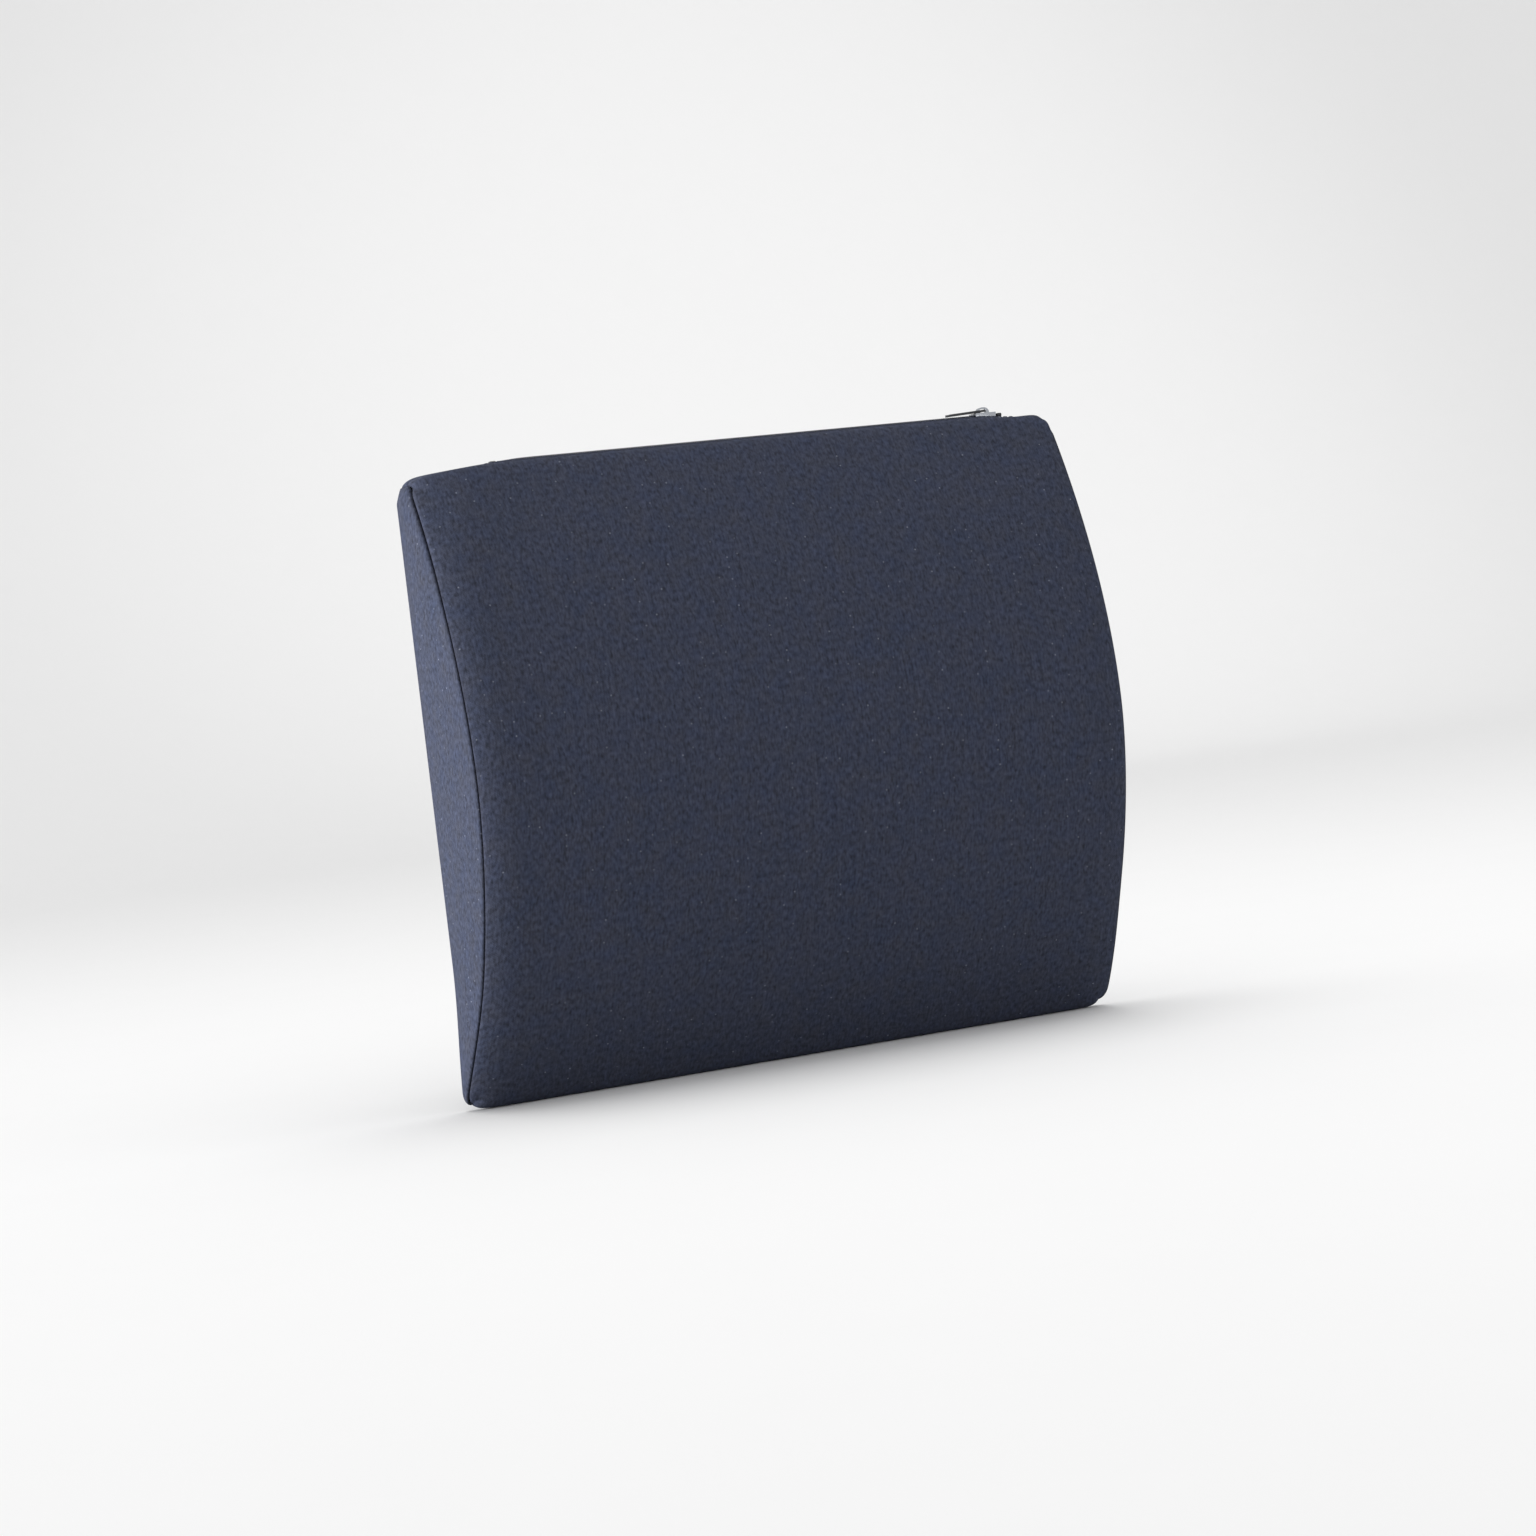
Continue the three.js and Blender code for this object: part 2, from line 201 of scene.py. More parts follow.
def section(rise, top, bottom, seam=LEFT_SEAM):
    """The closed D section at its true height, (depth, height) at t from 0 to 5: forward from
    the zip line, down the front, back under the bottom, up the back and over to the zip line.
    The front is the seam's curve moved out along its normal by the rise. Every corner is then
    rounded by a bell-shaped average along the outline, as wide as CORNER_ROUNDING says."""
    height = np.linspace(TOP + 30, BOTTOM - 30, 4000)
    line = np.stack([seam_depth(height, *seam), height], axis=1)
    along = unit(np.gradient(line, axis=0))
    line = line + rise * np.stack([-along[:, 1], along[:, 0]], axis=1)
    run = np.linspace(0, 1, RUN_SAMPLES, endpoint=False)
    front_height = top + (bottom - top) * run
    front_depth = np.interp(-front_height, -line[:, 1], line[:, 0])
    head = front_depth[0]
    foot = max(np.interp(-bottom, -line[:, 1], line[:, 0]), 1.5)
    front_depth = np.maximum(front_depth, foot)

    def straight(start, end):
        return np.stack([start[k] + (end[k] - start[k]) * run for k in (0, 1)], axis=1)

    raw = np.concatenate([
        straight((ZIP_LINE, top), (head, top)),
        np.stack([front_depth, front_height], axis=1),
        straight((foot, bottom), (0, bottom)),
        straight((0, bottom), (0, top)),
        straight((0, top), (ZIP_LINE, top)),
    ])
    step = np.linalg.norm(np.roll(raw, -1, axis=0) - raw, axis=1)
    place = np.concatenate([[0], np.cumsum(step)[:-1]])
    around = step.sum()
    t = np.arange(len(raw)) / RUN_SAMPLES
    spread = np.interp(t, *zip(*CORNER_ROUNDING))[:, None]
    apart = np.abs(place[:, None] - place[None, :])
    apart = np.minimum(apart, around - apart)
    weight = np.exp(-0.5 * (apart / spread) ** 2) * (step + np.roll(step, 1))[None, :]
    rounded = weight @ raw / weight.sum(axis=1, keepdims=True)
    return np.append(t, 5), np.concatenate([rounded, rounded[:1]])


TOP_LINE = TOP - 1.2        # the cloth's top edge, just under the coil of the zip
LEFT_DROP = 4.8             # its fall from its straight part to each end
RIGHT_DROP = 1.8
SWELL = 1.2                 # room left for the cloth to swell forward
MAIN_SECTION = section(CROWN - SWELL, TOP_LINE, BOTTOM)
LEFT_SECTION = section(0, TOP_LINE - LEFT_DROP, BOTTOM)
RIGHT_SECTION = section(0, TOP_LINE - RIGHT_DROP, BOTTOM, RIGHT_SEAM)

# How far in from an end the cover rolls up to its full section, and how sharply, by t.
ROLL_PLACES = (0, 0.9, 1.15, 2, 3, 3.5, 3.9, 5)
LEFT_ROLL_WIDTH = (57, 57, 21, 20, 20, 14, 57, 57)
LEFT_ROLL_POWER = (1.3, 1.3, 2.4, 2.4, 2.4, 2, 1.3, 1.3)
RIGHT_ROLL_WIDTH = (36, 36, 21, 20, 20, 14, 36, 36)
RIGHT_ROLL_POWER = (1.5, 1.5, 2.4, 2.4, 2.4, 2, 1.5, 1.5)
# The four corners in plan, by (side, top or bottom): radius, and where the corner's edges lie.
CORNERS = {(-1, 1): (11.0, TOP_LINE - LEFT_DROP), (1, 1): (6.5, TOP_LINE - RIGHT_DROP),
           (-1, -1): (10.0, -BOTTOM), (1, -1): (10.5, -BOTTOM)}
END_SPREAD = {-1: 0.0, 1: 2.4}      # the right end is a little fuller than its panel's line
FOOT_SPREAD = {-1: 3.0, 1: 2.4}     # both ends stand out a little more near the bottom
FOOT_SPREAD_FROM = 75.0             # height above the bottom where that begins
FOOT_SPREAD_REACH = 60.0            # how far in from the end it is felt
ZIP_END_DIP = 1.6           # the top edge sinks a little at the right end of the opening
ZIP_END_DIP_WIDTH = 7.0
OPENING_TAIL = 8.0          # the tapes run this far past the opening
OPENING_LEFT = tape_low[0] + OPENING_TAIL
OPENING_RIGHT = tape_high[0] - OPENING_TAIL


def at(section_table, t):
    """The section's (depth, height) at t, which runs on round it."""
    places, points = section_table
    t = np.mod(t, 5 + 1e-9)
    return np.stack([np.interp(t, places, points[:, k]) for k in (0, 1)], axis=-1)


def shape_in_plan(points):
    """Spreads the foot of each end outwards by a smooth step down the last part of its height,
    and rounds the four corners as seen from the front. Within a corner's square of side r, the
    point (a, b) from its inner corner moves to (a, b) max(a, b) / |(a, b)|, which turns the
    square's edge into a quarter circle."""
    moved = points.copy()
    for side, spread in FOOT_SPREAD.items():
        low = np.clip((BOTTOM + FOOT_SPREAD_FROM - points[..., 2]) / FOOT_SPREAD_FROM, 0, 1)
        near = np.clip(1 - (SIDE - side * points[..., 0]) / FOOT_SPREAD_REACH, 0, 1)
        out = END_SPREAD[side] + spread * np.sin(low * np.pi / 2) ** 2
        moved[..., 0] += side * out * near ** 2
    for (side, end), (radius, limit) in CORNERS.items():
        edge = SIDE + END_SPREAD[side] + (FOOT_SPREAD[side] if end < 0 else 0)
        a = (side * moved[..., 0] - (edge - radius)) / radius
        b = (end * moved[..., 2] - (limit - radius)) / radius
        inside = (a > 0) & (b > 0)
        squeeze = radius * np.maximum(a, b) / np.maximum(np.hypot(a, b), 1e-9)
        across = side * (edge - radius + a * squeeze)
        up = end * (limit - radius + b * squeeze)
        moved[..., 0] = np.where(inside, across, moved[..., 0])
        moved[..., 2] = np.where(inside, up, moved[..., 2])
    return moved


def cover_surface(t, x):
    """A point of the cover's outside at t round the section and x across. It goes from the end
    section to the main section by 1 - (1 - d/w)^p, where d is the distance in from the end, w
    the roll's width and p its sharpness."""
    t, x = np.broadcast_arrays(np.asarray(t, float), np.asarray(x, float))
    d = SIDE - np.abs(x)
    on_left = x < 0
    width = np.where(on_left, np.interp(t, ROLL_PLACES, LEFT_ROLL_WIDTH),
                     np.interp(t, ROLL_PLACES, RIGHT_ROLL_WIDTH))
    power = np.where(on_left, np.interp(t, ROLL_PLACES, LEFT_ROLL_POWER),
                     np.interp(t, ROLL_PLACES, RIGHT_ROLL_POWER))
    short = np.clip(1 - d / width, 0, 1) ** power
    end = np.where(on_left[..., None], at(LEFT_SECTION, t), at(RIGHT_SECTION, t))
    main = at(MAIN_SECTION, t)
    flat = main + (end - main) * short[..., None]
    over_top = np.clip(1 - np.minimum(t, 5 - t) / 1.03, 0, 1) ** 0.5
    dip = np.exp(-0.5 * ((x - OPENING_RIGHT) / ZIP_END_DIP_WIDTH) ** 2)
    height = flat[..., 1] - ZIP_END_DIP * dip * over_top
    return np.stack([x, -flat[..., 0], height], axis=-1)


def outward(t, x):
    """The cover's outward normal, from small steps along t and x."""
    t, x = np.broadcast_arrays(np.asarray(t, float), np.asarray(x, float))
    inside = np.clip(x, -SIDE + 0.6, SIDE - 0.6)
    down = cover_surface(t + 0.004, inside) - cover_surface(t - 0.004, inside)
    across = cover_surface(t, inside + 0.5) - cover_surface(t, inside - 0.5)
    return unit(np.cross(down, across))


# ---------------------------------------------------------------- panels
SEAM_ROUND = 2.1            # radius on which a panel turns in at a seam
SEAM_ROUND_PULLED = 4.0     # and where the left seam is pulled in, under the top corner
PULLED_AT, PULLED_REACH = 1.06, 0.08    # t of that place, and how far it reaches
LIP_ROUND = 1.3
LIP_FROM_LINE = 5.0         # zip line to each lip of the opening
CLOTH = 1.3                 # thickness of the cover that Blender shows
SEAM_STEPS = np.array([0, 0.22, 0.75, 1.7, 3.0, 4.8, 7.2, 10.4, 14.2, 18.4])


def turn_in(gap, radius):
    """How deep the cloth lies at a gap from its sewn edge: r - sqrt(r^2 - (r - gap)^2)."""
    near = np.clip(radius - gap, 0, radius)     # 0 outside the turn, the radius at the edge
    return radius - np.sqrt(radius ** 2 - near ** 2)


def seam_round(t, side):
    """The seam's radius at t: SEAM_ROUND, and more round PULLED_AT on the left by a bell."""
    bell = np.exp(-0.5 * ((t - PULLED_AT) / PULLED_REACH) ** 2)
    return SEAM_ROUND + (SEAM_ROUND_PULLED - SEAM_ROUND) * np.where(side < 0, bell, 0)


def widths(step=4.6):
    """Places across the width, close together at both seams."""
    inner = SIDE - SEAM_STEPS[-1]
    count = int(2 * inner / step)
    middle = np.linspace(-inner, inner, count)[1:-1]
    return np.concatenate([-SIDE + SEAM_STEPS, middle, (SIDE - SEAM_STEPS)[::-1]])


def eased(count, ease=0.55):
    """Shares from 0 to 1, closer together at both ends."""
    share = np.linspace(0, 1, count)
    return (1 - ease) * share + ease * (1 - np.cos(np.pi * share)) / 2


OPENING_EASE = 5.0          # length over which the lips part at each end of the opening


def opening_share(x):
    """1 along the zip opening, 0 past its ends, with a short smooth change between."""
    inside = np.minimum(x - OPENING_LEFT, OPENING_RIGHT - x)
    share = np.clip(inside / OPENING_EASE + 0.1, 0, 1)
    return share * share * (3 - 2 * share)


def wrap_panel(name, t_rows, x_columns, lip_row, seam_row):
    """The front or back panel: cover_surface on a grid, turned in at its two side seams, at its
    lip or zip seam, and at the seam along the bottom edge. The turn follows the quarter circle
    of turn_in, along the direction halfway between this panel and the one it is sewn to."""
    rows, columns = t_rows.shape
    x = np.broadcast_to(x_columns[None, :], (rows, columns))
    surface = cover_surface(t_rows, x)
    normal = outward(t_rows, x)
    d = SIDE - np.abs(x)
    sideways = np.stack([np.sign(x), np.zeros_like(x), np.zeros_like(x)], axis=-1)
    edge_normal = outward(t_rows, np.where(x < 0, -SIDE, SIDE))
    side_way = unit(edge_normal + sideways)
    run = np.concatenate([np.zeros((1, columns)),
                          np.cumsum(np.linalg.norm(np.diff(surface, axis=0), axis=2), axis=0)])
    from_lip = run if lip_row == 0 else run[-1:] - run
    from_seam = run if seam_row == 0 else run[-1:] - run
    bottom_way = unit(np.array([0.0, 1.0, -1.0]))
    sunk = (surface
            - side_way * turn_in(d, seam_round(t_rows, x))[..., None]
            - normal * turn_in(from_lip, LIP_ROUND)[..., None]
            - bottom_way * turn_in(from_seam, SEAM_ROUND)[..., None])
    points = shape_in_plan(sunk)
    uv = np.stack([x, run - run[rows // 2:rows // 2 + 1]], axis=-1)
    gap = np.minimum(d, from_seam)
    held = np.minimum(gap, from_lip)
    return build_mesh(name, points.reshape(-1, 3), grid_faces(rows, columns), uv.reshape(-1, 2),
                      {"seam_gap": (gap * MM).ravel(), "seam_run": (run * MM).ravel(),
                       "held_gap": held.ravel()})


def lip_t(x, forward):
    """t of the panel's top edge: at the zip line past the opening, at the lip along it."""
    depth_of = (MAIN_SECTION[1][:RUN_SAMPLES, 0] if forward
                else MAIN_SECTION[1][-RUN_SAMPLES - 1:, 0][::-1])
    share = np.linspace(0, 1, len(depth_of))
    if forward:
        return np.interp(ZIP_LINE + LIP_FROM_LINE * opening_share(x), depth_of, share)
    return 5 - np.interp(-(ZIP_LINE - LIP_FROM_LINE * opening_share(x)), -depth_of, share)


def make_front():
    x = widths()
    edge = lip_t(x, True)
    over = np.array([0, 0.05, 0.14, 0.3, 0.5, 0.72, 1.0])[:, None]
    top_run = edge[None, :] + (1 - edge[None, :]) * over
    front_run = np.broadcast_to(1 + eased(92)[1:, None], (91, x.size))
    bottom_run = np.broadcast_to(2 + np.array([0.25, 0.5, 0.75, 0.87, 0.95, 1.0])[:, None],
                                 (6, x.size))
    rows = np.concatenate([top_run, front_run, bottom_run])
    return wrap_panel("front_panel", rows, x, 0, -1)


def make_back():
    x = widths()
    edge = lip_t(x, False)
    back_run = np.broadcast_to(3 + eased(80)[:, None], (80, x.size))
    over = np.array([0.18, 0.4, 0.65, 0.85, 0.95, 1.0])[:, None]
    top_run = 4 + (edge[None, :] - 4) * over
    return wrap_panel("back_panel", np.concatenate([back_run, top_run]), x, -1, 0)


END_BULGE = 1.6
END_STEPS = 15
SPINE_TOP = 11.0            # the spine stops this far below the top


def make_end(name, side):
    """An end panel: rings from the side seam to a spine halfway across the D. It bulges by the
    sine of the gap from the seam and turns in at the seam as the wrapped panels do."""
    table = LEFT_SECTION if side < 0 else RIGHT_SECTION
    places, outline = table
    highest, lowest = outline[:, 1].max(), outline[:, 1].min()
    heights = lowest + 3 + (highest - SPINE_TOP - lowest - 3) * eased(84)[::-1]
    front_part = (places >= 1) & (places <= 2.2)
    back_part = (places >= 3) & (places <= 4.2)
    front_t = np.interp(-heights, -outline[front_part, 1], places[front_part])
    back_t = np.interp(heights[::-1], outline[back_part, 1], places[back_part])
    over_front = np.linspace(0, front_t[0], 8, endpoint=False)
    under = np.linspace(front_t[-1], back_t[0], 8)[1:-1]
    over_back = np.linspace(back_t[-1], 5, 8, endpoint=False)[1:]
    t = np.concatenate([over_front, front_t, under, back_t, over_back])
    rim = at(table, t)
    # Front and back rows of one height share a point of the spine, so the spine closes.
    spine_height = np.concatenate([
        np.full(over_front.size, heights[0]), heights, np.full(under.size, heights[-1]),
        heights[::-1], np.full(over_back.size, heights[0])])
    half = np.interp(-spine_height, -outline[front_part, 1], outline[front_part, 0]) / 2
    spine = np.stack([half, spine_height], axis=1)
    reach = np.linalg.norm(spine - rim, axis=1)
    near = SEAM_STEPS[:5][None, :] * np.minimum(1, reach / 8)[:, None]
    rest = np.linspace(0, 1, END_STEPS - 4)[None, 1:]
    gap = np.concatenate([near, near[:, -1:] + (reach[:, None] - near[:, -1:]) * rest], axis=1)
    flat = rim[:, None, :] + (spine - rim)[:, None, :] * (gap / reach[:, None])[..., None]
    x = side * (SIDE + END_BULGE * np.sin(np.pi / 2 * np.clip(gap / 32, 0, 1)))
    surface = np.stack([x, -flat[..., 0], flat[..., 1]], axis=-1)
    sideways = np.array([side, 0.0, 0.0])
    way = unit(outward(t, np.full(t.shape, side * SIDE)) + sideways)
    radius = np.minimum(seam_round(t, side), 0.45 * reach)      # less where the D is narrow
    sunk = surface - way[:, None, :] * turn_in(gap, radius[:, None])[..., None]
    points = shape_in_plan(sunk)
    run = np.concatenate([[0], np.cumsum(np.linalg.norm(np.diff(rim, axis=0), axis=1))])
    rows, columns = gap.shape
    uv = np.stack([-flat[..., 0], flat[..., 1]], axis=-1)
    piece = build_mesh(name, points.reshape(-1, 3),
                       grid_faces(rows, columns, wrap_rows=True, flip=side < 0),
                       uv.reshape(-1, 2),
                       {"seam_gap": (gap * MM).ravel(),
                        "seam_run": np.repeat(run * MM, columns),
                        "held_gap": gap.ravel()})
    weld(piece, 0.15)
    return piece


# ---------------------------------------------------------------- cloth simulation
PRESSURE = 4.0
FRAMES = 20
HELD_TO, FREE_FROM = 3.5, 16.0      # gap from a sewn edge that is held, and that is quite free
HOLD_STEPS = 12


def positions(mesh):
    """Every vertex's place, in metres."""
    flat = np.zeros(len(mesh.vertices) * 3, np.float32)
    mesh.vertices.foreach_get("co", flat)
    return flat.reshape(-1, 3).astype(float)


def swell(piece, stiffness, most):
    """Blows a panel up as cloth held along its sewn edges, and keeps the shape it reaches. Each
    move is cut down smoothly to most * tanh(move / most), in millimetres."""
    mesh = piece.data
    gap = np.zeros(len(mesh.vertices), np.float32)
    mesh.attributes["held_gap"].data.foreach_get("value", gap)
    hold = np.clip((FREE_FROM - gap) / (FREE_FROM - HELD_TO), 0, 1)
    step = np.round(hold * HOLD_STEPS).astype(int)
    sewn = piece.vertex_groups.new(name="sewn")
    for level in range(1, HOLD_STEPS + 1):
        sewn.add(np.flatnonzero(step == level).tolist(), level / HOLD_STEPS, "REPLACE")
    cloth = piece.modifiers.new("swell", "CLOTH")
    setting = cloth.settings
    setting.quality = 5
    setting.mass = 0.3
    setting.tension_stiffness = setting.compression_stiffness = stiffness
    setting.shear_stiffness = stiffness / 2
    setting.bending_stiffness = 2.0
    setting.use_pressure = True
    setting.uniform_pressure_force = PRESSURE
    setting.vertex_group_mass = sewn.name
    setting.effector_weights.gravity = 0
    cloth.collision_settings.use_collision = False
    cloth.point_cache.frame_start = 1
    cloth.point_cache.frame_end = FRAMES
    rest = positions(mesh)
    scene = bpy.context.scene
    for frame_number in range(1, FRAMES + 1):
        scene.frame_set(frame_number)
    seen = piece.evaluated_get(bpy.context.evaluated_depsgraph_get())
    move = positions(seen.data) - rest
    piece.modifiers.remove(cloth)
    piece.vertex_groups.remove(sewn)
    length = np.linalg.norm(move, axis=1)
    room = most * MM
    move *= (room * np.tanh(length / room) / np.maximum(length, 1e-9))[:, None]
    mesh.vertices.foreach_set("co", (rest + move).astype(np.float32).ravel())
    mesh.update()
    scene.frame_set(1)


# ---------------------------------------------------------------- foam
FOAM_INSET = 2.6            # cloth's outside to foam
FOAM_KNEE = 5.0             # height over which the foam's top is pressed under its limit
FOAM_ROWS = 84              # rows down the front, and as many up the back
FOAM_BELOW_TOP = 3.6        # the foam lies this far below the cloth's top edge, under the tapes


def make_foam():
    """The foam block: the cover's outside moved in along its normal, with each end closed by
    rings that run in to a spine halfway across the D. Its top nears a limit below the zip by
    limit - k exp(-a / k), where a is the height above limit - k, so no two rows meet."""
    down = eased(FOAM_ROWS)
    over, under, back_over = (np.linspace(0, 1, n)[:-1] for n in (8, 6, 7))
    t = np.concatenate([over, 1 + down, 2 + under[1:], (4 - down)[::-1], 4 + back_over[1:]])
    x = np.linspace(-SIDE + FOAM_INSET + 0.6, SIDE - FOAM_INSET - 0.6, 70)
    grid_t, grid_x = np.meshgrid(t, x, indexing="ij")
    body = cover_surface(grid_t, grid_x) - FOAM_INSET * outward(grid_t, grid_x)
    under_tape = cover_surface(np.full(x.shape, TAPE_AT), x)[..., 2] - FOAM_BELOW_TOP
    limit = np.minimum(FOAM_TOP, under_tape)[None, :]
    past = np.clip(body[..., 2] - (limit - FOAM_KNEE), 0, None)
    pressed = limit - FOAM_KNEE * np.exp(-past / FOAM_KNEE)
    body[..., 2] = np.where(past > 0, pressed, body[..., 2])
    first_front = over.size
    first_back = first_front + FOAM_ROWS + under.size - 1
    parts = [(shape_in_plan(body).reshape(-1, 3), grid_faces(len(t), len(x), wrap_rows=True))]
    for column in (0, -1):
        rim = body[:, column]
        # A front row and the back row across from it share their middle point.
        middle = (rim[first_front:first_front + FOAM_ROWS]
                  + rim[first_back:first_back + FOAM_ROWS][::-1]) / 2
        order = np.argsort(middle[:, 2])
        height = np.clip(middle[:, 2], rim[:, 2].min() + 4, rim[:, 2].max() - 6)
        depth = np.interp(height, middle[order, 2], middle[order, 1])
        middle = np.stack([middle[:, 0], depth, height], axis=1)
        spine = np.concatenate([
            np.repeat(middle[:1], first_front, axis=0), middle,
            np.repeat(middle[-1:], under.size - 1, axis=0), middle[::-1],
            np.repeat(middle[:1], back_over.size - 1, axis=0)])
        share = np.linspace(0, 1, 6)[None, :, None]
        rings = rim[:, None] * (1 - share) + spine[:, None] * share
        parts.append((shape_in_plan(rings).reshape(-1, 3),
                      grid_faces(len(t), 6, wrap_rows=True, flip=column == 0)))
    vertices, faces = join_grids(parts)
    piece = build_mesh("foam_block", vertices, faces)
    weld(piece, 0.05)
    return piece


# ---------------------------------------------------------------- zip
COIL_PITCH = 1.3
COIL_WIRE = 0.3             # radius of the filament
COIL_OVER_LINE = 0.15       # how far the loops reach past the zip line, to interlock


def tube(path, outward_way, radius, sides):
    """A tube along a path: rings of the given sides in the plane of the path's outward way and
    its cross with the path. It is drawn in to a point at each end."""
    along = unit(np.gradient(path, axis=0))
    across = unit(np.cross(along, outward_way))
    other = np.cross(across, along)
    path = np.concatenate([path[:1], path, path[-1:]])
    across = np.concatenate([across[:1], across, across[-1:]])
    other = np.concatenate([other[:1], other, other[-1:]])
    wide = np.full(len(path), float(radius))
    wide[[0, -1]] = 0
    angle = np.arange(sides) * 2 * np.pi / sides
    ring = (np.cos(angle)[None, :, None] * across[:, None]
            + np.sin(angle)[None, :, None] * other[:, None])
    points = path[:, None] + ring * wide[:, None, None]
    return points.reshape(-1, 3), grid_faces(len(path), sides, wrap_columns=True)


COIL_TAIL_DIP = 0.75        # the coil's tail dives with its tape at the bottom stop
COIL_TAIL = 9.0


def tail_dip(x, start):
    """How far the zip's tail sinks at x: a half bell that is deepest at the start."""
    return COIL_TAIL_DIP * np.exp(-(np.clip(x - start, 0, None) / COIL_TAIL) ** 2)


def make_coil(name, low, high, side, phase):
    """One coil row: a filament wound round an ellipse along X, x = pitch * turns, its loops'
    heads just over the zip line."""
    head = -ZIP_LINE - side * COIL_OVER_LINE
    heel = low[1] if side < 0 else high[1]
    middle_y, half_y = (head + heel) / 2, abs(head - heel) / 2 - COIL_WIRE
    middle_z, half_z = (low[2] + high[2]) / 2, (high[2] - low[2]) / 2 - COIL_WIRE
    turns = np.arange(0, (high[0] - low[0]) / COIL_PITCH, 1 / 12)
    angle = 2 * np.pi * turns + phase
    way = np.stack([np.zeros_like(angle), np.cos(angle), np.sin(angle)], axis=1)
    path = np.stack([low[0] + turns * COIL_PITCH, middle_y + half_y * np.cos(angle),
                     middle_z + half_z * np.sin(angle)], axis=1)
    path[:, 2] -= tail_dip(path[:, 0], low[0])
    points, faces = tube(path, way, COIL_WIRE, 6)
    piece = build_mesh(name, points, faces)
    weld(piece, 0.001)
    return piece


COIL_THREAD = 0.16          # radius
COIL_THREAD_SUNK = 0.12     # how far it lies in between two loops
COIL_THREAD_RISE = 0.22     # and how far it rises over a loop


def make_coil_thread(name, low, high, side):
    """The sewing thread over a coil row: it rises over each loop, z = top + h |sin|."""
    x = np.arange(low[0], high[0], COIL_PITCH / 6)
    y = (low[1] + high[1]) / 2 + side * 0.35
    rise = np.abs(np.sin(np.pi * (x - low[0]) / COIL_PITCH))
    z = high[2] - COIL_THREAD_SUNK + COIL_THREAD_RISE * rise
    path = np.stack([x, np.full_like(x, y), z - tail_dip(x, low[0])], axis=1)
    way = np.broadcast_to(np.array([0.0, 0.0, 1.0]), path.shape)
    points, faces = tube(path, way, COIL_THREAD, 5)
    piece = build_mesh(name, points, faces)
    weld(piece, 0.001)
    return piece


TAPE_AT = 0.6               # t of the cloth's top edge over the tapes
TAPE_BELOW_CLOTH = 0.25
TAPE_RIB = 0.12


def make_tape(name, low, high):
    """A woven tape: a grid as wide and long as its node, with a low rib down each edge. It runs
    flat, and follows the underside of the cloth where the top edge falls towards the ends."""
    x = np.linspace(low[0], high[0], 90)
    share = np.array([0, 0.04, 0.1, 0.16, 0.5, 0.84, 0.9, 0.96, 1.0])
    y = low[1] + (high[1] - low[1]) * share
    rib = TAPE_RIB * (np.exp(-((share - 0.07) / 0.04) ** 2)
                      + np.exp(-((share - 0.93) / 0.04) ** 2))
    grid_y, grid_x = np.meshgrid(y, x, indexing="ij")
    under = cover_surface(np.full(x.shape, TAPE_AT), x)[..., 2] - CLOTH - TAPE_BELOW_CLOTH
    z = np.minimum(high[2], under)[None, :] - TAPE_RIB + rib[:, None]
    points = np.stack([grid_x, grid_y, z], axis=-1)
    uv = np.stack([grid_x, grid_y], axis=-1)
    return build_mesh(name, points.reshape(-1, 3), grid_faces(len(y), len(x), flip=True),
                      uv.reshape(-1, 2))


def make_stop(name, low, high):
    """A crimped stop: a superellipsoid |x/a|^4 + |y/b|^3 + |z/c|^3 = 1, pinched by a shallow
    groove round its middle."""
    centre, half = (low + high) / 2, (high - low) / 2
    if "bottom" in name:
        centre = centre - np.array([0.0, 0.0, COIL_TAIL_DIP])
    u = np.linspace(-np.pi / 2, np.pi / 2, 17)[:, None]
    v = np.linspace(0, 2 * np.pi, 24, endpoint=False)[None, :]

    def power(value, n):
        return np.sign(value) * np.abs(value) ** n

    groove = 1 - 0.07 * np.exp(-(np.sin(u) / 0.22) ** 2)
    points = np.stack([
        np.broadcast_to(half[0] * power(np.sin(u), 0.5), (17, 24)),
        half[1] * power(np.cos(u), 0.5) * power(np.cos(v), 0.6) * groove,
        half[2] * power(np.cos(u), 0.5) * power(np.sin(v), 0.6) * groove], axis=-1)
    piece = build_mesh(name, (points + centre).reshape(-1, 3),
                       grid_faces(17, 24, wrap_columns=True, flip=True))
    weld(piece, 0.001)
    return piece


def refine(node_name, name, bevel):
    """A copy of a CAD node's mesh, merged, with its edges rounded by a bevel."""
    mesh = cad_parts[node_name].data.copy()
    mesh.name = name
    piece = bpy.data.objects.new(name, mesh)
    bpy.context.scene.collection.objects.link(piece)
    weld(piece, 0.001)
    rounded = piece.modifiers.new("rounded edges", "BEVEL")
    rounded.width = bevel * MM
    rounded.segments = 3
    rounded.limit_method = "ANGLE"
    rounded.angle_limit = math.radians(28)
    rounded.harden_normals = True
    mesh.shade_smooth()
    return piece


STITCH_PITCH = 3.2
STITCH_LENGTH = 2.5
THREAD = 0.22               # radius


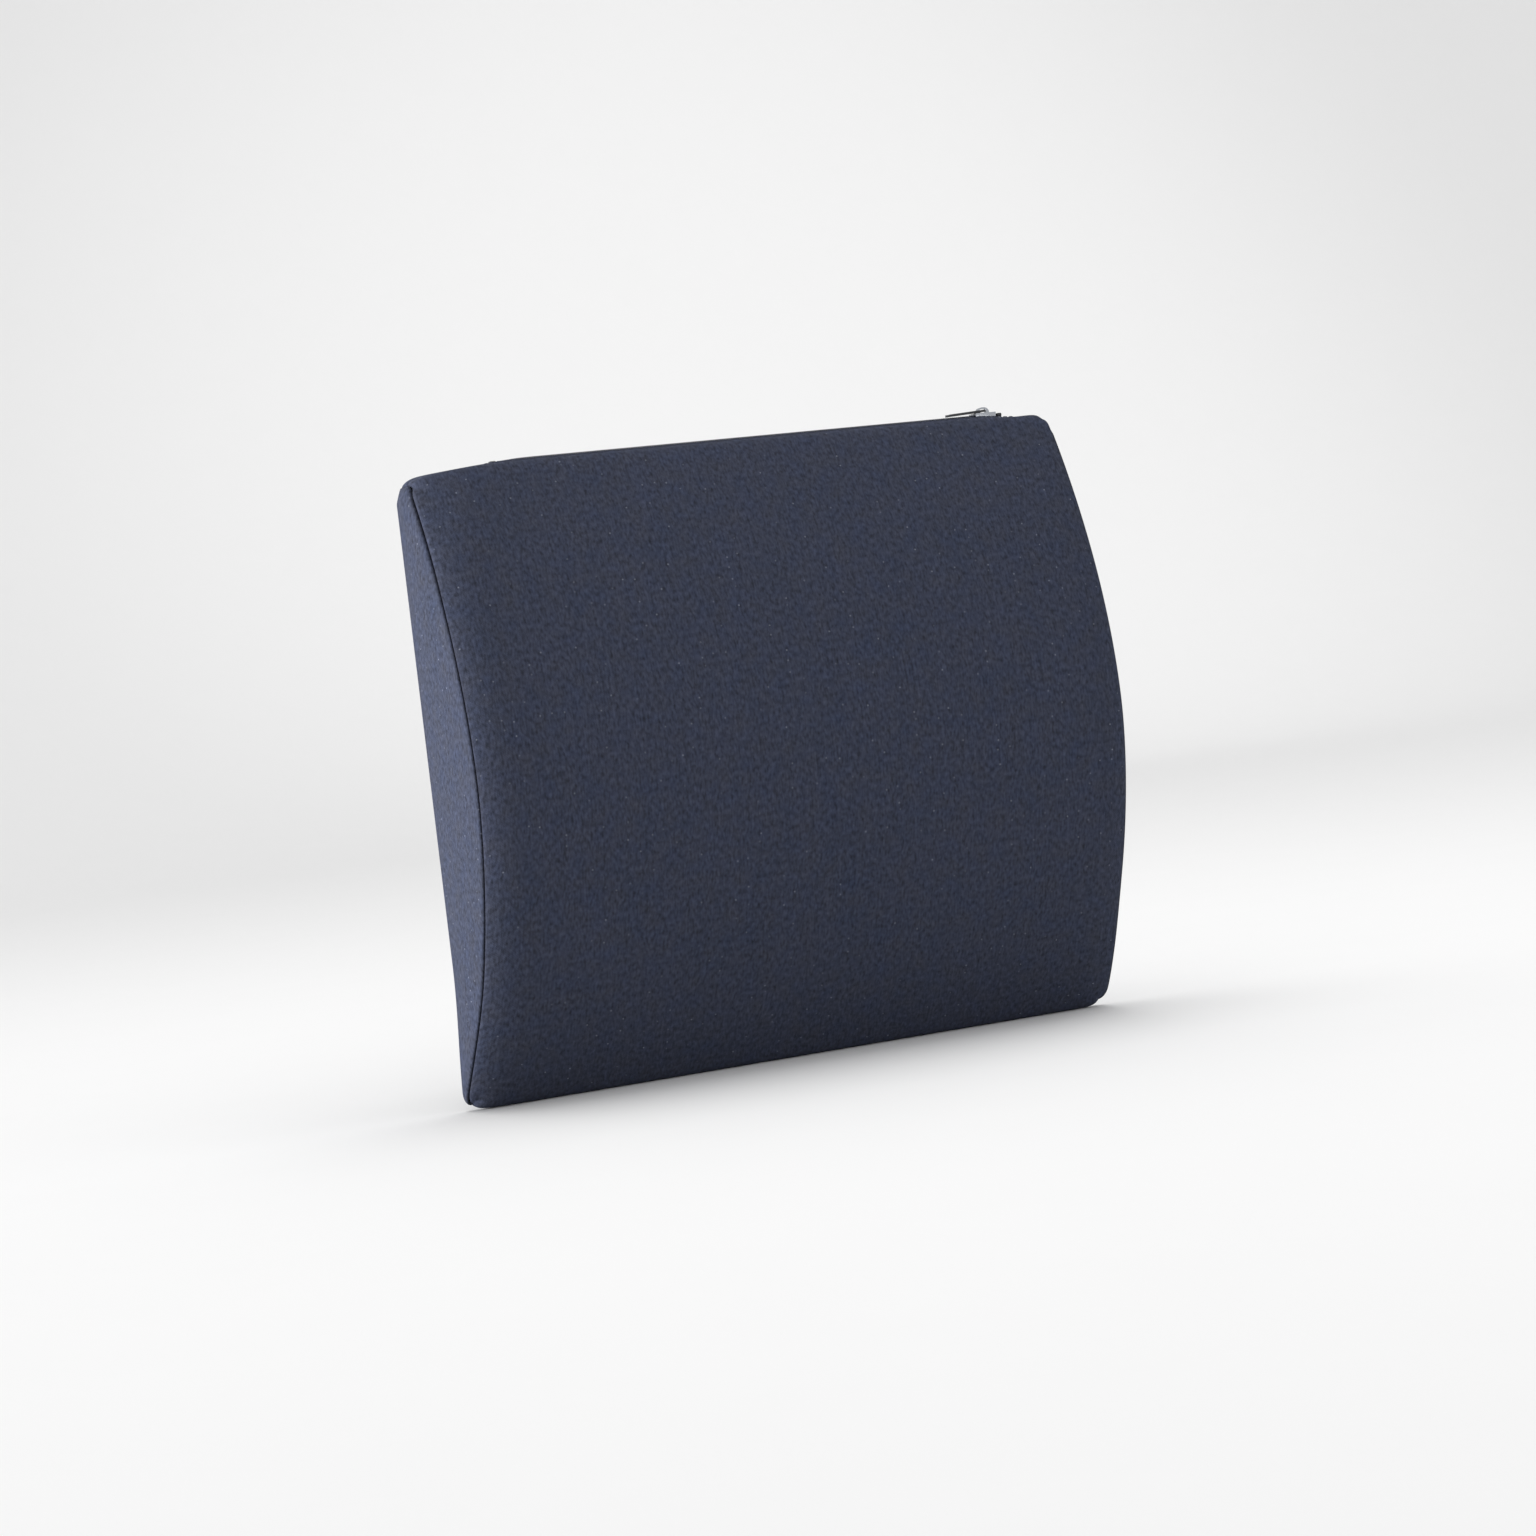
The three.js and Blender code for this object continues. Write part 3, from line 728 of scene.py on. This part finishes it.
def make_stitches(name, t, x, lift=0.05):
    """A row of lockstitches: short threads on the cover at (t, x), each a spindle that stands
    proud in its middle by 1 - a^2, where a runs from -1 to 1 along it."""
    centre = cover_surface(t, x)
    along = unit(cover_surface(t, x + 0.5) - cover_surface(t, x - 0.5))
    up = outward(t, x)
    across = np.cross(up, along)
    a = np.array([-1, -0.93, -0.6, 0, 0.6, 0.93, 1])
    wide = THREAD * np.array([0, 0.75, 1, 1, 1, 0.75, 0])
    angle = np.arange(6) * np.pi / 3
    base = (centre + lift * up)[:, None, None] + (
        along[:, None, None] * (a * STITCH_LENGTH / 2)[None, :, None, None]
        + up[:, None, None] * (0.2 * (1 - a ** 2))[None, :, None, None])
    ring = (np.cos(angle)[None, None, :, None] * across[:, None, None]
            + np.sin(angle)[None, None, :, None] * up[:, None, None])
    points = shape_in_plan(base + ring * wide[None, :, None, None])
    one = grid_faces(7, 6, wrap_columns=True, flip=True)
    faces = (one[None] + (np.arange(len(x)) * 42)[:, None, None]).reshape(-1, 4)
    piece = build_mesh(name, points.reshape(-1, 3), faces)
    weld(piece, 0.001)
    return piece


# ---------------------------------------------------------------- materials
def linear(hex_colour):
    """sRGB hex to linear RGBA."""
    value = np.array([int(hex_colour[i:i + 2], 16) for i in (1, 3, 5)]) / 255
    low = value <= 0.04045
    out = np.where(low, value / 12.92, ((value + 0.055) / 1.055) ** 2.4)
    return (*out.tolist(), 1.0)


def new_material(name):
    material = bpy.data.materials.new(name)
    material.use_nodes = True
    material.node_tree.nodes.clear()
    return material, material.node_tree


def add(tree, kind, settings=None, **inputs):
    """Adds one node. Settings are the node's own, inputs are numbers, colours or other nodes'
    outputs; an input named _3 is the fourth by place."""
    made = tree.nodes.new(kind)
    for key, value in (settings or {}).items():
        setattr(made, key, value)
    for key, value in inputs.items():
        socket = made.inputs[int(key[1:])] if key[0] == "_" else made.inputs[key.replace("_", " ")]
        if isinstance(value, bpy.types.NodeSocket):
            tree.links.new(value, socket)
        else:
            socket.default_value = value
    return made


def math_node(tree, operation, a, b=0.0):
    return add(tree, "ShaderNodeMath", {"operation": operation}, _0=a, _1=b).outputs[0]


def mixed(tree, factor, a, b):
    made = add(tree, "ShaderNodeMix", {"data_type": "RGBA"}, _0=factor, _6=a, _7=b)
    return made.outputs[2]


def woven_cover():
    """Woven polyester upholstery fabric in dark navy: matt, with uneven yarns, a little fuzz."""
    material, tree = new_material("woven polyester, navy")
    place = add(tree, "ShaderNodeUVMap", {"uv_map": "cloth"}).outputs[0]
    across, along = add(tree, "ShaderNodeSeparateXYZ", _0=place).outputs[:2]

    def noise(stretch, size_mm, detail=2.0):
        """Noise whose grain is size_mm, drawn out along the cloth by stretch."""
        shape = add(tree, "ShaderNodeMapping", _0=place,
                    Scale=(1 / (size_mm * MM), 1 / (size_mm * MM * stretch), 1)).outputs[0]
        return add(tree, "ShaderNodeTexNoise", {"noise_dimensions": "2D"}, Vector=shape,
                   Scale=1.0, Detail=detail, Roughness=0.55).outputs[0]

    broad = noise(1.0, 38)
    tint = noise(1.0, 11)
    streak = noise(30, 2.1, 1.0)
    slub = noise(3, 1.1, 2.0)
    grain = noise(1.0, 2.6, 3.0)
    # Yarns are about 0.3 mm in the real cloth. They are drawn 1.3 mm apart to show.
    yarn = 2 * math.pi / (1.3 * MM)
    warp = math_node(tree, "SINE", math_node(tree, "MULTIPLY", across, yarn))
    weft = math_node(tree, "SINE", math_node(tree, "MULTIPLY", along, yarn))
    weave = math_node(tree, "MULTIPLY", warp, weft)
    # Yarns of slightly different dye lots: a bluer, a paler and a greyer navy.
    cool = mixed(tree, broad, linear("#293145"), linear("#313648"))
    toned = mixed(tree, tint, cool, linear("#33353f"))
    level = math_node(tree, "ADD", math_node(tree, "MULTIPLY", weave, 0.07), 1.0)
    for pattern, strength in ((streak, 0.20), (slub, 1.2), (grain, 1.2)):
        level = math_node(tree, "ADD", level, math_node(
            tree, "MULTIPLY", math_node(tree, "SUBTRACT", pattern, 0.5), strength))
    yarns = add(tree, "ShaderNodeVectorMath", {"operation": "SCALE"}, _0=toned,
                Scale=level).outputs[0]
    # Lint: light flecks 0.8 mm wide, of uneven strength, in one of every five 6.7 mm cells.
    cells = add(tree, "ShaderNodeTexVoronoi", {"voronoi_dimensions": "2D"}, Vector=place,
                Scale=150.0, Randomness=1.0)
    fleck = math_node(tree, "LESS_THAN", cells.outputs["Distance"], 0.06)
    chance, strength = add(tree, "ShaderNodeSeparateColor",
                           _0=cells.outputs["Color"]).outputs[:2]
    fleck = math_node(tree, "MULTIPLY", fleck, math_node(tree, "GREATER_THAN", chance, 0.80))
    fleck = math_node(tree, "MULTIPLY", fleck, math_node(tree, "MULTIPLY", strength, 0.5))
    coloured = mixed(tree, fleck, yarns, linear("#868b98"))
    gap = add(tree, "ShaderNodeAttribute", {"attribute_name": "seam_gap"}).outputs["Fac"]
    run = add(tree, "ShaderNodeAttribute", {"attribute_name": "seam_run"}).outputs["Fac"]
    near = math_node(tree, "EXPONENT", math_node(tree, "MULTIPLY", gap, -1 / (2.2 * MM)))
    # Painted shade: within about half a millimetre of a seam the colour darkens towards #0b0c11,
    # standing in for the shade in the seam's groove.
    seam_shade = math_node(tree, "EXPONENT", math_node(tree, "MULTIPLY", gap, -1 / (0.55 * MM)))
    coloured = mixed(tree, math_node(tree, "MULTIPLY", seam_shade, 0.85), coloured, linear("#0b0c11"))
    pull = math_node(tree, "SINE", math_node(tree, "MULTIPLY", run, 2 * math.pi / (3.4 * MM)))
    pull = math_node(tree, "MULTIPLY", pull, near)
    height = math_node(tree, "ADD", math_node(tree, "MULTIPLY", weave, 0.045),
                       math_node(tree, "MULTIPLY", slub, 0.16))
    height = math_node(tree, "ADD", height, math_node(tree, "MULTIPLY", pull, 0.16))
    bump = add(tree, "ShaderNodeBump", Strength=0.55, Distance=MM, Height=height).outputs[0]
    shader = add(tree, "ShaderNodeBsdfPrincipled", Base_Color=coloured, Roughness=0.92, IOR=1.45,
                 Normal=bump)
    shader.inputs["Specular IOR Level"].default_value = 0.18
    shader.inputs["Sheen Weight"].default_value = 0.03
    shader.inputs["Sheen Roughness"].default_value = 0.45
    shader.inputs["Sheen Tint"].default_value = linear("#8f97ad")
    add(tree, "ShaderNodeOutputMaterial", _0=shader.outputs[0])
    return material


def plain(name, colour, roughness, metallic=0.0, specular=0.5, grain_mm=1.0, depth=0.05,
          shade=0.12):
    """A material of one colour, lightened and darkened by shade and given a bump of the given
    depth in millimetres, both from noise whose grain is grain_mm."""
    material, tree = new_material(name)
    place = add(tree, "ShaderNodeTexCoord").outputs["Object"]
    grain = add(tree, "ShaderNodeTexNoise", Vector=place, Scale=1 / (grain_mm * MM), Detail=3.0,
                Roughness=0.6).outputs[0]
    level = math_node(tree, "ADD", math_node(tree, "MULTIPLY", grain, 2 * shade), 1 - shade)
    tone = add(tree, "ShaderNodeVectorMath", {"operation": "SCALE"}, _0=linear(colour)[:3],
               Scale=level).outputs[0]
    bump = add(tree, "ShaderNodeBump", Strength=1.0, Distance=depth * MM, Height=grain).outputs[0]
    shader = add(tree, "ShaderNodeBsdfPrincipled", Base_Color=tone, Metallic=metallic,
                 Roughness=roughness, Normal=bump)
    shader.inputs["Specular IOR Level"].default_value = specular
    add(tree, "ShaderNodeOutputMaterial", _0=shader.outputs[0])
    return material


def woven_tape():
    """Woven polyester zip tape: a tight herringbone of fine dark yarns, a little silky."""
    material, tree = new_material("woven polyester tape, dark navy")
    place = add(tree, "ShaderNodeUVMap", {"uv_map": "cloth"}).outputs[0]
    x, y = add(tree, "ShaderNodeSeparateXYZ", _0=place).outputs[:2]
    # Yarns are about 0.25 mm. The ribs are drawn 0.6 mm apart to show.
    yarn = 2 * math.pi / (0.6 * MM)
    bent = math_node(tree, "ABSOLUTE", math_node(tree, "SINE", math_node(
        tree, "MULTIPLY", y, math.pi / (2.0 * MM))))
    slant = math_node(tree, "ADD", math_node(tree, "MULTIPLY", x, yarn),
                      math_node(tree, "MULTIPLY", bent, 3.0))
    rib = math_node(tree, "SINE", slant)
    level = math_node(tree, "ADD", math_node(tree, "MULTIPLY", rib, 0.18), 1.0)
    tone = add(tree, "ShaderNodeVectorMath", {"operation": "SCALE"}, _0=linear("#242833")[:3],
               Scale=level).outputs[0]
    bump = add(tree, "ShaderNodeBump", Strength=0.6, Distance=0.12 * MM, Height=rib).outputs[0]
    shader = add(tree, "ShaderNodeBsdfPrincipled", Base_Color=tone, Roughness=0.7, Normal=bump)
    shader.inputs["Specular IOR Level"].default_value = 0.3
    add(tree, "ShaderNodeOutputMaterial", _0=shader.outputs[0])
    return material


def paint(piece, material):
    piece.data.materials.clear()
    piece.data.materials.append(material)


# ---------------------------------------------------------------- stage
FLOOR = BOTTOM * MM
WALL_AWAY = 4.2             # metres behind the cushion
WALL_CURVE = 1.4
STAGE_HALF = 5.0
STAGE_NEAR = -3.5


def make_stage():
    """Floor and backdrop in one: a straight floor, a quarter circle and a straight wall, carried
    across the width."""
    angle = np.linspace(0, np.pi / 2, 24)
    bend = np.stack([WALL_AWAY - WALL_CURVE + WALL_CURVE * np.sin(angle),
                     FLOOR + WALL_CURVE * (1 - np.cos(angle))], axis=1)
    near = np.stack([np.linspace(STAGE_NEAR, WALL_AWAY - WALL_CURVE, 30)[:-1],
                     np.full(29, FLOOR)], axis=1)
    wall = np.array([[WALL_AWAY, FLOOR + WALL_CURVE + 3.5]])
    profile = np.concatenate([near, bend, wall])
    x = np.linspace(-STAGE_HALF, STAGE_HALF, 12)
    y, px = np.meshgrid(profile[:, 0], x, indexing="ij")
    z = np.meshgrid(profile[:, 1], x, indexing="ij")[0]
    points = np.stack([px, y, z], axis=-1).reshape(-1, 3) / MM
    sheet = build_mesh("studio_sweep", points, grid_faces(len(profile), len(x), flip=True))
    material, tree = new_material("matt white paper")
    # Rolled paper: matt and nearly even, with a cloudiness 6 cm wide that hardly shows.
    place = add(tree, "ShaderNodeTexCoord").outputs["Object"]
    cloud = add(tree, "ShaderNodeTexNoise", Vector=place, Scale=1 / 0.06, Detail=2.0).outputs[0]
    tone = mixed(tree, cloud, linear("#eeeeee"), linear("#efefef"))
    shader = add(tree, "ShaderNodeBsdfPrincipled", Base_Color=tone, Roughness=0.9)
    shader.inputs["Specular IOR Level"].default_value = 0.0
    add(tree, "ShaderNodeOutputMaterial", _0=shader.outputs[0])
    paint(sheet, material)
    return sheet


def hang(name, data, spot, aim, receivers=None):
    """Hangs a lamp at a spot and turns it to its aim, in metres. It may light only receivers."""
    lamp = bpy.data.objects.new(name, data)
    lamp.location = spot
    lamp.rotation_euler = (Vector(aim) - Vector(spot)).to_track_quat("-Z", "Y").to_euler()
    bpy.context.scene.collection.objects.link(lamp)
    if receivers:
        lamp.light_linking.receiver_collection = receivers


def softbox(name, size, power):
    data = bpy.data.lights.new(name, "AREA")
    data.shape = "RECTANGLE"
    data.size, data.size_y = size
    data.energy = power
    return data


def soft_spot(name, cone, power):
    """A spotlight whose pool fades all the way from its middle to its edge."""
    data = bpy.data.lights.new(name, "SPOT")
    data.energy = power
    data.spot_size = math.radians(cone)
    data.spot_blend = 1.0
    data.shadow_soft_size = 0.3
    return data


WORLD_STRENGTH = 0.90
lit = bpy.data.collections.new("lit by the side lights")    # the cushion, and not the floor


def make_lights():
    world = bpy.data.worlds.new("studio")
    world.use_nodes = True
    ground = world.node_tree.nodes["Background"]
    ground.inputs[0].default_value = (1, 1, 1, 1)
    ground.inputs[1].default_value = WORLD_STRENGTH
    bpy.context.scene.world = world
    hang("overhead_softbox", softbox("overhead_softbox", (1.6, 1.6), 15), (0, 0.1, 2.0),
         (0, 0, 0))
    hang("wall_spot", soft_spot("wall_spot", 54, 85), (1.9, 0.9, 2.4), (1.9, WALL_AWAY, 0.3))
    hang("low_reflector", softbox("low_reflector", (1.6, 0.15), 1.6), (0.2, -1.6, -0.05),
         (0, 0, -0.1), lit)
    hang("left_softbox", softbox("left_softbox", (0.9, 0.9), 64), (-1.6, 0.08, 0.06),
         (-0.18, 0, 0), lit)
    bpy.context.scene.view_settings.view_transform = "Standard"


make_stage()
make_lights()

# ---------------------------------------------------------------- the cover
fabric = woven_cover()
panels = {
    "cover_front": make_front(),
    "cover_back": make_back(),
    "cover_side_left": make_end("left_end_panel", -1),
    "cover_side_right": make_end("right_end_panel", 1),
}
# Each panel's stiffness, and the most that it may swell in millimetres.
SWELLING = {"cover_front": (60, 2.6), "cover_back": (60, 1.6), "cover_side_left": (30, 1.2),
            "cover_side_right": (30, 1.2)}
for node_name, panel in panels.items():
    swell(panel, *SWELLING[node_name])
    thicken(panel, CLOTH, 1)
    paint(panel, fabric)
    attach(panel, "cushion")
    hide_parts(node_name)
    lit.objects.link(panel)


def settle(piece, material, body, slot_name, *nodes):
    """Paints a piece, rides it on its body and hides the CAD nodes it stands for. slot_name is not
    used.
    """
    paint(piece, material)
    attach(piece, body)
    if nodes:
        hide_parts(*nodes)
    lit.objects.link(piece)


# Open-cell polyurethane memory foam: cream, matt, with a skin of cells under a millimetre wide.
foam = plain("memory foam", "#e3d9bf", 0.95, specular=0.1, grain_mm=0.9, depth=0.35, shade=0.1)
# Wound polyester monofilament, dyed dark: smooth, half gloss.
filament = plain("polyester monofilament", "#272a33", 0.38, grain_mm=3, depth=0.01)
# Spun polyester sewing thread in the cover's colour: soft, slightly silky.
thread = plain("spun polyester thread", "#3a3f52", 0.6, specular=0.3, grain_mm=0.3, depth=0.05)
# Nickel-plated zinc: bright and smooth, with light handling wear.
nickel = plain("nickel-plated zinc", "#a3a6ac", 0.25, metallic=1.0, grain_mm=1.5, depth=0.01,
               shade=0.05)
# Black-enamelled zinc: a thin stoved coat, glossy, over the stamped tag.
enamel = plain("black enamelled zinc", "#17191f", 0.3, grain_mm=1.2, depth=0.02)
tape_cloth = woven_tape()

core = make_foam()
settle(core, foam, "cushion", "foam", "foam_core")

for part, side, phase in (("front", -1, 0.0), ("back", 1, math.pi)):
    coil_low, coil_high = box_mm(f"zip_coil_{part}")
    settle(make_coil(f"coil_row_{part}", coil_low, coil_high, side, phase), filament,
           "cushion", "zip_coil", f"zip_coil_{part}")
    settle(make_coil_thread(f"coil_thread_{part}", coil_low, coil_high, side), thread,
           "cushion", "zip_tape")
    tape = make_tape(f"woven_tape_{part}", *box_mm(f"zip_tape_{part}"))
    wall = tape.modifiers.new("tape thickness", "SOLIDIFY")
    wall.thickness, wall.offset = 0.45 * MM, -1
    settle(tape, tape_cloth, "cushion", "zip_tape", f"zip_tape_{part}")
for stop in ("top_stop_front", "top_stop_back", "bottom_stop"):
    settle(make_stop(f"crimped_{stop}", *box_mm(f"zip_{stop}")), enamel,
           "cushion", "zip_metal", f"zip_{stop}")
settle(refine("zip_slider", "slider_body", 0.28), nickel, "slider", "zip_metal", "zip_slider")
settle(refine("zip_pull", "pull_tag", 0.22), enamel, "pull", "zip_metal", "zip_pull")

stitch_x = np.arange(OPENING_LEFT - 3, OPENING_RIGHT + 3, STITCH_PITCH)
LIP_TO_STITCH = 2.4
t_front_row = float(np.interp(ZIP_LINE + LIP_FROM_LINE + LIP_TO_STITCH,
                              MAIN_SECTION[1][:RUN_SAMPLES, 0], MAIN_SECTION[0][:RUN_SAMPLES]))
t_back_row = float(4 + (ZIP_LINE - LIP_FROM_LINE - LIP_TO_STITCH) / ZIP_LINE)
for part, row_t in (("front", t_front_row), ("back", t_back_row)):
    settle(make_stitches(f"lip_stitches_{part}", np.full_like(stitch_x, row_t), stitch_x),
           thread, "cushion", "cover_fabric")
